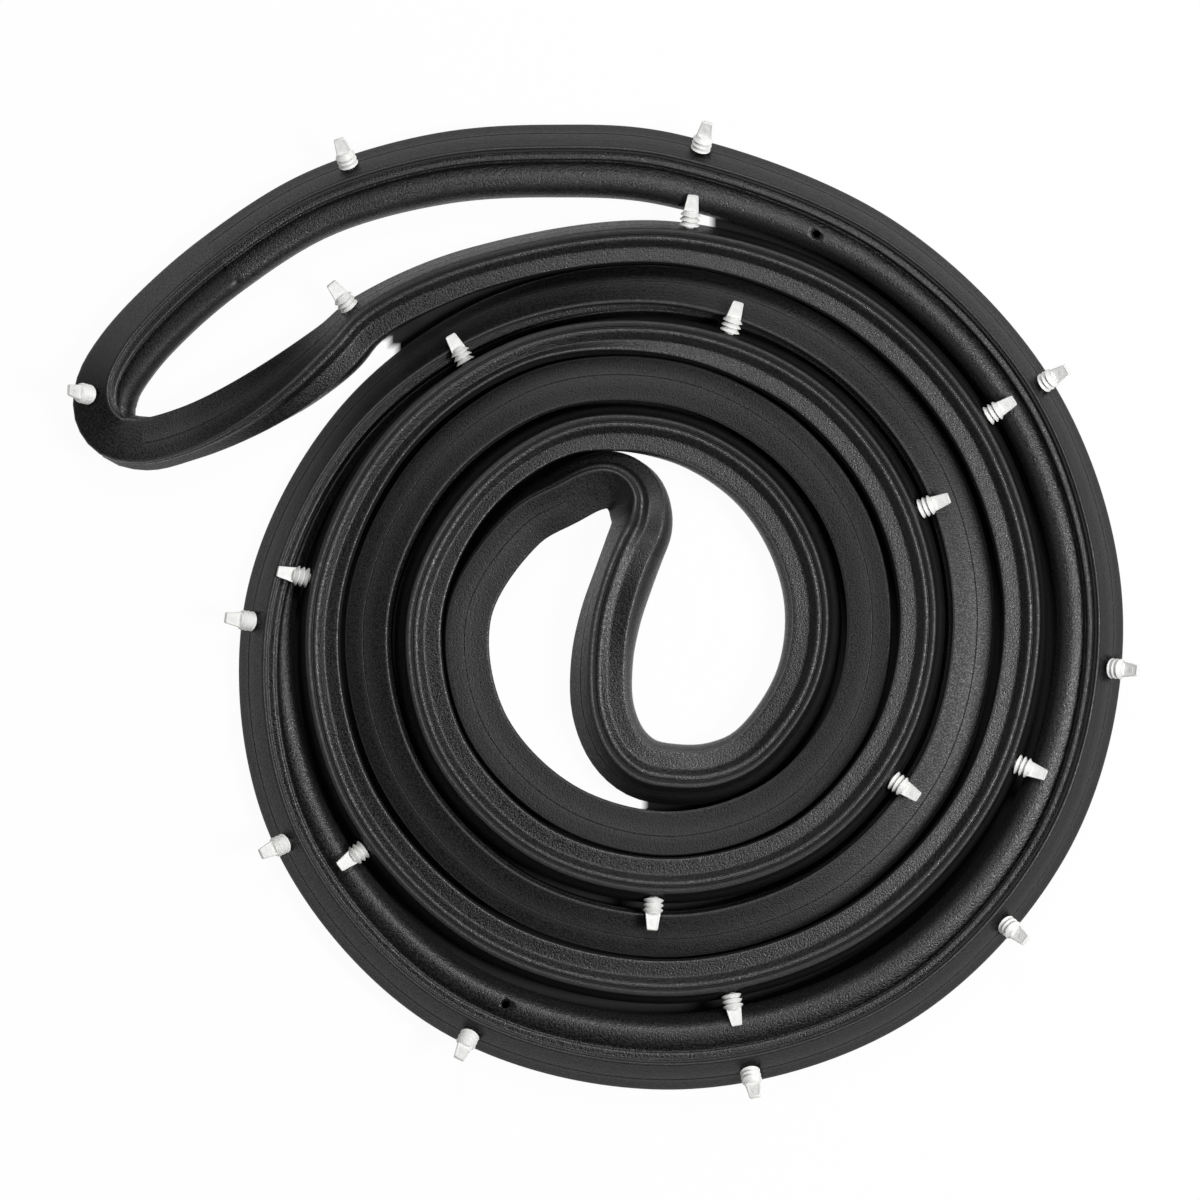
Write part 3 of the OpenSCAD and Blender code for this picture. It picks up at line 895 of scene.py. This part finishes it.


# Base colours of the rubber: between the specks, a painted highlight on ridges and painted shade in
# hollows
BLACK = (0.001, 0.001, 0.0011)
PAINTED_RIDGE_HIGHLIGHT = (0.040, 0.040, 0.041)
SHADED = (0.002, 0.002, 0.002)
MOTTLE_WEIGHT = 0.3
SPECK_WEIGHT = 0.7
SPECK_DULLS = 0.22
RIDGE_SHINES = 0.1


def rubber(name, speck, roughness, grain_depth, grain_size, line_depth, specular):
    """Black rubber with grain, die lines, painted highlights on ridges, painted shade in hollows and a
    slow mottle.
    """
    material, tree, shader = new_material(name)
    object_place = add(tree, "ShaderNodeTexCoord").outputs["Object"]
    strip = add(tree, "ShaderNodeAttribute", attribute_name="strip").outputs["Vector"]
    grain = use_group(tree, GRAIN, {"Vector": object_place}, {"Fineness": grain_size})
    lines = use_group(tree, LINES, {"Strip": strip})
    mottle = use_group(tree, MOTTLE, {"Vector": object_place})
    edges = use_group(tree, EDGES, {"Strip": strip})
    tone = math_node(tree, "ADD", weighted(tree, mottle["Value"], MOTTLE_WEIGHT),
                     weighted(tree, grain["Speck"], SPECK_WEIGHT))
    # Painted highlight: a lighter colour on ridges; then painted shade: a darker colour in hollows
    ridge_highlighted = mix_colour(tree, edges["Ridge"], mix_colour(tree, tone, BLACK, speck), PAINTED_RIDGE_HIGHLIGHT)
    colour = mix_colour(tree, edges["Hollow"], ridge_highlighted, SHADED)
    tree.links.new(colour, shader.inputs["Base Color"])
    dull = math_node(tree, "ADD", roughness, weighted(tree, grain["Speck"], SPECK_DULLS))
    rough = math_node(tree, "SUBTRACT", dull, weighted(tree, edges["Ridge"], RIDGE_SHINES))
    tree.links.new(rough, shader.inputs["Roughness"])
    height = math_node(tree, "ADD", weighted(tree, grain["Height"], grain_depth),
                       weighted(tree, lines["Height"], line_depth))
    add_bump(tree, shader, height, MM)
    shader.inputs["Specular IOR Level"].default_value = specular
    return material


NYLON_DARK = (0.76, 0.76, 0.745)
NYLON_LIGHT = (0.84, 0.84, 0.825)
NYLON_ROUGH = 0.34
NYLON_DULLS = 0.1
NYLON_GRAIN = 0.03


def nylon(name):
    """Natural white nylon, a little translucent."""
    material, tree, shader = new_material(name)
    object_place = add(tree, "ShaderNodeTexCoord").outputs["Object"]
    mottle = use_group(tree, MOTTLE, {"Vector": object_place}, {"Scale": 400.0})["Value"]
    grain = use_group(tree, GRAIN, {"Vector": object_place}, {"Fineness": 2500.0})
    tree.links.new(mix_colour(tree, mottle, NYLON_DARK, NYLON_LIGHT), shader.inputs["Base Color"])
    add_bump(tree, shader, grain["Height"], NYLON_GRAIN * MM)
    rough = math_node(tree, "ADD", NYLON_ROUGH, weighted(tree, mottle, NYLON_DULLS))
    tree.links.new(rough, shader.inputs["Roughness"])
    shader.inputs["Subsurface Weight"].default_value = 0.10
    shader.inputs["Subsurface Radius"].default_value = (0.0006, 0.0006, 0.0005)
    shader.inputs["Subsurface Scale"].default_value = 1.0
    return material


# Depths of grain and lines are in millimetres, grain size in waves per metre.
DENSE = rubber("dense_rubber", (0.011, 0.011, 0.0114), roughness=0.36, grain_depth=0.14,
               grain_size=1300.0, line_depth=0.04, specular=0.36)
SPONGE = rubber("sponge_rubber", (0.013, 0.013, 0.0134), roughness=0.29, grain_depth=0.22,
                grain_size=1150.0, line_depth=0.02, specular=0.55)
MOULDED = rubber("moulded_rubber", (0.011, 0.011, 0.0114), roughness=0.35, grain_depth=0.12,
                 grain_size=1300.0, line_depth=0.0, specular=0.42)
NYLON = nylon("natural_nylon")


# ---------------------------------------------------------------- the pieces
def finish_piece(obj, material, body, node):
    obj.data.materials.clear()
    obj.data.materials.append(material)
    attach(obj, body)
    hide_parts(node)


def make_carriers():
    for name, first, last, clips in (
            ("front_base", FRONT_START, FRONT_END, FRONT_CLIPS[:-1]),
            ("rear_base", REAR_START, UPPER_START, REAR_CLIPS)):
        obj = swept_piece(name.replace("base", "carrier"), first, last, carrier_points, solid_cap)
        cut(obj, [neck_cut(d) for d in clips])
        finish_piece(obj, DENSE, "strip", name)


def make_bulbs():
    for name, first, last, vents in (("front_bulb", FRONT_START, FRONT_END, VENTS),
                                     ("rear_bulb", REAR_START, UPPER_START, [])):
        obj = swept_piece(name.replace("bulb", "sponge_bulb"), first, last, bulb_points, wall_cap)
        if vents:
            cut(obj, [vent_cut(d) for d in vents])
        finish_piece(obj, SPONGE, "strip", name)


def make_corners():
    for name, first, last, clips in (("corner_upper", UPPER_START, FRONT_START, []),
                                     ("corner_lower", FRONT_END, REAR_START, FRONT_CLIPS[-1:])):
        samples = fine_range(first, last)
        base = sweep(samples, plain_carrier_points, solid_cap)
        bulb = sweep(samples, bulb_points, wall_cap)
        verts, faces = joined([base[:2], bulb[:2]])
        obj = make_object(name + "_moulding", verts, faces, np.r_[base[2], bulb[2]])
        if clips:
            cut(obj, [neck_cut(d) for d in clips])
        finish_piece(obj, MOULDED, "strip", name)


def make_clips():
    points, faces = make_clip_master()
    for strand, places in (("front", FRONT_CLIPS), ("rear", REAR_CLIPS)):
        for k, distance in enumerate(places):
            body = f"clip_{strand}_{k + 1:02d}"
            p, x, z = clip_frame(distance)
            y = np.cross(z, x)
            verts = p + points[:, :1] * x + points[:, 1:2] * y + points[:, 2:] * z
            obj = make_object(body + "_moulding", verts, faces)
            obj.data.set_sharp_from_angle(angle=math.radians(CLIP_SHARP))
            finish_piece(obj, NYLON, body, body)


make_carriers()
make_bulbs()
make_corners()
make_clips()


# ---------------------------------------------------------------- floor, light
WHITE = (1, 1, 1, 1)
FLOOR_HALF = 3000.0
NEAR_HALF = 240.0
FLOOR_STEP = 3.0
FLOOR_COLOUR = (0.8, 0.8, 0.8, 1)
# Share of the plain white in what a seen ray finds on the floor; the rest is lit and shadowed.
FLOOR_WHITE = 0.96
# Directions from the coil's centre, in degrees: where the outer turn leaves the coil for the loop,
# where the rear lead comes in, where the tail leaves inwards and where the sharp corner touches
PARTING = 84
LEAD_TOUCH = 136
TAIL_PARTING = 262
CORNER_TOUCH = 109
# Strength of the world's even fill, how dim the ceiling is seen and how high it starts
FILL = 0.15
CEILING_DIM = 0.92
CEILING_AT = 0.22
# Name, place, width in metres and power in watts
LAMPS = [("right_softbox", (0.85, -0.16, 1.3), 0.5, 19.0),
         ("top_softbox", (0.1, 0.85, 1.3), 0.5, 8.5)]


def seen_ray(tree):
    """1 for rays that show the white surroundings: camera, glossy and transmitted ones."""
    path = add(tree, "ShaderNodeLightPath")
    both = math_node(tree, "ADD", path.outputs["Is Camera Ray"], path.outputs["Is Glossy Ray"])
    total = add(tree, "ShaderNodeMath", operation="ADD", use_clamp=True)
    tree.links.new(both, total.inputs[0])
    tree.links.new(path.outputs["Is Transmission Ray"], total.inputs[1])
    return total.outputs[0]


def row_radii(rows):
    """Distance of each row from the coil's centre."""
    return [math.hypot(row[0] - COIL_C[0], row[1] - COIL_C[1]) for row in rows]


def coil_span(angle):
    """Least and greatest radius of the coil's turns, on their middle lines, at an angle."""
    outer = np.interp(
        (angle - PARTING) % 360 + PARTING,
        [PARTING, 120, LEAD_TOUCH, LEAD_TOUCH + 1, *np.arange(150, 451, 30)],
        row_radii(rear_outer_rows[1::-1] + rear_lead_rows[-1:] + front_outer_rows[:1]
                  + front_outer_rows))
    inner = np.interp(
        (angle - CORNER_TOUCH) % 360 + CORNER_TOUCH,
        [CORNER_TOUCH, 134, 150, 180, 210, 240, TAIL_PARTING - 1, TAIL_PARTING, 284,
         *np.arange(300, 451, 30), 480],
        row_radii(upper_corner_rows[-1:] + front_lead_rows + front_inner_rows[:5]
                  + rear_tail_rows[1::-1] + rear_inner_rows[::-1]))
    return inner, outer


def floor_material():
    """White to a seen ray, except where a mask of painted shade puts it in the dark in the slots
    between the turns.
    """
    material = bpy.data.materials.new("white_floor")
    material.use_nodes = True
    tree = material.node_tree
    tree.nodes.clear()
    matt = add(tree, "ShaderNodeBsdfDiffuse")
    matt.inputs["Color"].default_value = FLOOR_COLOUR
    white = add(tree, "ShaderNodeEmission")
    white.inputs["Color"].default_value = WHITE
    slot = add(tree, "ShaderNodeAttribute", attribute_name="painted_slot_shade").outputs["Fac"]
    # Painted shade: the floor's white goes out where the slot mask is set
    tree.links.new(math_node(tree, "SUBTRACT", 1.0, slot), white.inputs["Strength"])
    mix = add(tree, "ShaderNodeMixShader")
    tree.links.new(weighted(tree, seen_ray(tree), FLOOR_WHITE), mix.inputs[0])
    tree.links.new(matt.outputs[0], mix.inputs[1])
    tree.links.new(white.outputs[0], mix.inputs[2])
    end = add(tree, "ShaderNodeOutputMaterial")
    tree.links.new(mix.outputs[0], end.inputs["Surface"])
    return material


def make_floor():
    """White floor, given painted shade where only the slots between the turns show it."""
    near = np.arange(-NEAR_HALF, NEAR_HALF + 1, FLOOR_STEP)
    lines = np.r_[-FLOOR_HALF, near, FLOOR_HALF]
    n = len(lines)
    x, y = (grid.ravel() for grid in np.meshgrid(lines, lines))
    i = np.arange(n * (n - 1)).reshape(n - 1, n)[:, :-1].ravel()
    mesh = bpy.data.meshes.new("floor")
    mesh.from_pydata((np.c_[x, y, 0 * x] * MM).tolist(), [],
                     np.c_[i, i + 1, i + n + 1, i + n].tolist())
    from_centre = np.c_[x, y] + BOX_MIDDLE - COIL_C
    inner, outer = coil_span(np.degrees(np.arctan2(from_centre[:, 1], from_centre[:, 0])))
    radius = np.linalg.norm(from_centre, axis=1)
    # Mask of painted shade on the floor between the coil's turns
    painted_slot_shade = ((radius > inner) & (radius < outer)).astype(np.float32)
    mesh.attributes.new("painted_slot_shade", "FLOAT", "POINT").data.foreach_set("value", painted_slot_shade)
    mesh.materials.append(floor_material())
    link(bpy.data.objects.new("floor", mesh))


def soft_light(name, spot, size, power):
    """Round lamp at a spot, turned to the coil."""
    data = bpy.data.lights.new(name, "AREA")
    data.shape = "DISK"
    data.size = size
    data.energy = power
    lamp = link(bpy.data.objects.new(name, data))
    lamp.location = spot
    lamp.rotation_mode = "QUATERNION"
    lamp.rotation_quaternion = (-Vector(spot)).to_track_quat("-Z", "Y")


def make_world():
    """White surroundings up to eye level under a dim ceiling, and an even fill."""
    world = bpy.data.worlds.new("studio")
    world.use_nodes = True
    bpy.context.scene.world = world
    tree = world.node_tree
    tree.nodes.clear()
    parts = add(tree, "ShaderNodeSeparateXYZ")
    tree.links.new(add(tree, "ShaderNodeTexCoord").outputs["Generated"], parts.inputs[0])
    ceiling = weighted(tree, ramp(tree, parts.outputs["Z"], 0.0, CEILING_AT), CEILING_DIM)
    shown = math_node(tree, "SUBTRACT", 1.0, ceiling)
    extra = math_node(tree, "MULTIPLY", seen_ray(tree), math_node(tree, "SUBTRACT", shown, FILL))
    sky = add(tree, "ShaderNodeBackground")
    sky.inputs["Color"].default_value = WHITE
    tree.links.new(math_node(tree, "ADD", extra, FILL), sky.inputs["Strength"])
    end = add(tree, "ShaderNodeOutputWorld")
    tree.links.new(sky.outputs[0], end.inputs["Surface"])


make_floor()
for lamp_settings in LAMPS:
    soft_light(*lamp_settings)
make_world()
bpy.context.scene.view_settings.view_transform = "Standard"
